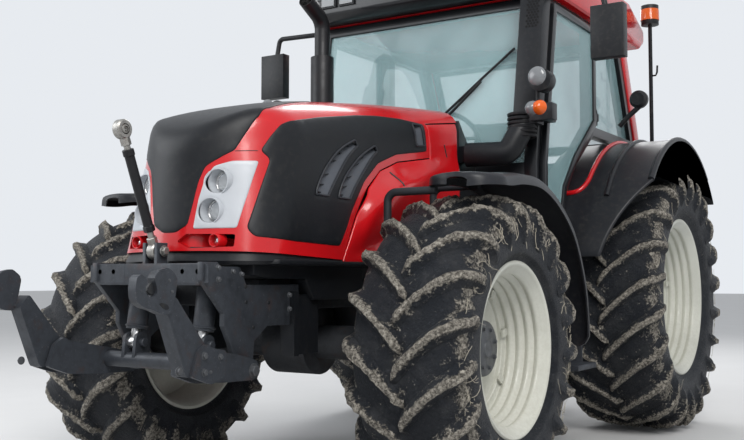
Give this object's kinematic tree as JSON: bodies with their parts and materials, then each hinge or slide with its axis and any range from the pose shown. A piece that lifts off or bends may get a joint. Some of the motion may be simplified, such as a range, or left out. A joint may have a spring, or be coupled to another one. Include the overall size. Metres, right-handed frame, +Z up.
{
  "type": "farm tractor",
  "caption": "Four-wheel farm tractor with hinged hood, glazed cab, steered lugged front wheels, raised front lift arms with claws, and a rear linkage.",
  "frame": {"origin": "on the ground under the middle of the tractor's overall length and width", "axes": "+X to the tractor's left, +Y to its rear, +Z up; the front faces -Y"},
  "size_m": [2.54, 5.357, 2.97],
  "materials": {
    "red_paint": "gloss",
    "satin_black": "satin",
    "lamp_silver": "satin",
    "rim_cream": "gloss",
    "tyre_rubber": "worn, with dried mud",
    "linkage_grey": "satin",
    "cast_dark": "rough",
    "cab_black": "satin",
    "cab_glass": "clear",
    "seat_cloth": "woven",
    "bright_steel": "polished",
    "exhaust_black": "matt",
    "lamp_black": "satin"
  },
  "bodies": {
    "root": {"front_frame": "cast_dark", "engine": "cast_dark", "gearbox": "cast_dark", "lower_shroud": "satin_black", "front_axle": "cast_dark", "side_covers": "red_paint", "cab_base": "cab_black", "cab_frame": "cab_black", "cab_glass": "cab_glass", "rear_pillars": "red_paint", "roof": "red_paint", "roof_visor": "cab_black", "seat": "seat_cloth", "seat_base": "cab_black", "console": "cab_black", "rear_fender_left": "satin_black", "rear_fender_right": "satin_black", "side_tanks": "cab_black", "steps": "linkage_grey", "exhaust": "exhaust_black", "air_intake": "satin_black", "mirrors": "lamp_black", "cab_lamps": "lamp_black", "linkage_frame": "linkage_grey", "rear_hitch": "cast_dark"},
    "hood": {"hood_shell": "red_paint", "hood_nose_panel": "satin_black", "hood_side_panels": "satin_black", "headlamps": "lamp_silver"},
    "knuckle_left": {"knuckle_left": "cast_dark", "front_fender_left": "satin_black"},
    "knuckle_right": {"knuckle_right": "cast_dark", "front_fender_right": "satin_black"},
    "front_wheel_left": {"front_tyre_left": "tyre_rubber", "front_rim_left": "rim_cream"},
    "front_wheel_right": {"front_tyre_right": "tyre_rubber", "front_rim_right": "rim_cream"},
    "rear_wheel_left": {"rear_tyre_left": "tyre_rubber", "rear_rim_left": "rim_cream"},
    "rear_wheel_right": {"rear_tyre_right": "tyre_rubber", "rear_rim_right": "rim_cream"},
    "door_left": {"door_left": "cab_black", "door_glass_left": "cab_glass"},
    "door_right": {"door_right": "cab_black", "door_glass_right": "cab_glass"},
    "rear_window": {"rear_window": "cab_black", "rear_window_glass": "cab_glass"},
    "front_arms": {"lift_arms": "linkage_grey"},
    "front_barrels": {"lift_barrels": "linkage_grey"},
    "front_rods": {"lift_rods": "bright_steel"},
    "front_top_link": {"front_top_link": "linkage_grey"},
    "rear_lower_links": {"rear_lower_links": "linkage_grey"},
    "rear_lift_arms": {"rear_lift_arms": "linkage_grey"},
    "rear_lift_rods": {"rear_lift_rods": "linkage_grey"},
    "rear_top_link": {"rear_top_link": "linkage_grey"}
  },
  "joints": [
    {"name": "hood_lift", "type": "hinge", "parent": "root", "child": "hood", "pos_m": [0, -0.157, 1.925], "axis": [-1, 0, 0], "range_deg": [0, 45]},
    {"name": "steer_left", "type": "hinge", "parent": "root", "child": "knuckle_left", "pos_m": [0.7, -1.112, 0.69], "axis": [0, 0, 1], "range_deg": [-30, 30]},
    {"name": "steer_right", "type": "hinge", "parent": "root", "child": "knuckle_right", "pos_m": [-0.7, -1.112, 0.69], "axis": [0, 0, 1], "range_deg": [-30, 30]},
    {"name": "front_spin_left", "type": "hinge", "parent": "knuckle_left", "child": "front_wheel_left", "pos_m": [0.94, -1.112, 0.69], "axis": [1, 0, 0], "continuous": true},
    {"name": "front_spin_right", "type": "hinge", "parent": "knuckle_right", "child": "front_wheel_right", "pos_m": [-0.94, -1.112, 0.69], "axis": [1, 0, 0], "continuous": true},
    {"name": "rear_spin_left", "type": "hinge", "parent": "root", "child": "rear_wheel_left", "pos_m": [0.925, 1.553, 0.88], "axis": [1, 0, 0], "continuous": true},
    {"name": "rear_spin_right", "type": "hinge", "parent": "root", "child": "rear_wheel_right", "pos_m": [-0.925, 1.553, 0.88], "axis": [1, 0, 0], "continuous": true},
    {"name": "door_swing_left", "type": "hinge", "parent": "root", "child": "door_left", "pos_m": [0.812, 0.996, 2.04], "axis": [0, 0, 1], "range_deg": [0, 58]},
    {"name": "door_swing_right", "type": "hinge", "parent": "root", "child": "door_right", "pos_m": [-0.812, 0.996, 2.04], "axis": [0, 0, -1], "range_deg": [0, 58]},
    {"name": "rear_window_lift", "type": "hinge", "parent": "root", "child": "rear_window", "pos_m": [0, 1.604, 2.641], "axis": [1, 0, 0], "range_deg": [0, 40]},
    {"name": "front_lift", "type": "hinge", "parent": "root", "child": "front_arms", "pos_m": [0, -1.924, 0.624], "axis": [1, 0, 0], "range_deg": [0, 58]},
    {"name": "front_barrel_swing", "type": "hinge", "parent": "root", "child": "front_barrels", "pos_m": [0.19, -2.012, 1.015], "axis": [1, 0, 0], "range_deg": [-3.15, 0]},
    {"name": "front_rod_slide", "type": "slide", "parent": "front_barrels", "child": "front_rods", "axis": [0, -0.139, -0.9903], "range_m": [0, 0.163]},
    {"name": "front_top_link_swing", "type": "hinge", "parent": "root", "child": "front_top_link", "pos_m": [0, -2.132, 1.115], "axis": [1, 0, 0], "range_deg": [-5, 66]},
    {"name": "rear_lift", "type": "hinge", "parent": "root", "child": "rear_lower_links", "pos_m": [0, 1.778, 0.61], "axis": [1, 0, 0], "range_deg": [-28, 8]},
    {"name": "rear_arm_swing", "type": "hinge", "parent": "root", "child": "rear_lift_arms", "pos_m": [0, 1.918, 1], "axis": [1, 0, 0], "range_deg": [-38.6, 11.7]},
    {"name": "rear_rod_swing", "type": "hinge", "parent": "rear_lift_arms", "child": "rear_lift_rods", "pos_m": [0, 2.288, 1.12], "axis": [1, 0, 0], "range_deg": [-10.3, 33.7]},
    {"name": "rear_top_link_swing", "type": "hinge", "parent": "root", "child": "rear_top_link", "pos_m": [0, 2.023, 0.89], "axis": [1, 0, 0], "range_deg": [-35, 38]}
  ],
  "couplings": [
    {"joint": "steer_right", "follows": "steer_left", "ratio": 1},
    {"joint": "front_barrel_swing", "follows": "front_lift", "ratio": -0.03699},
    {"joint": "front_rod_slide", "follows": "front_lift", "m_per_rad": 0.15908},
    {"joint": "rear_arm_swing", "follows": "rear_lift", "ratio": 1.3417},
    {"joint": "rear_rod_swing", "follows": "rear_lift", "ratio": -1.1663}
  ]
}
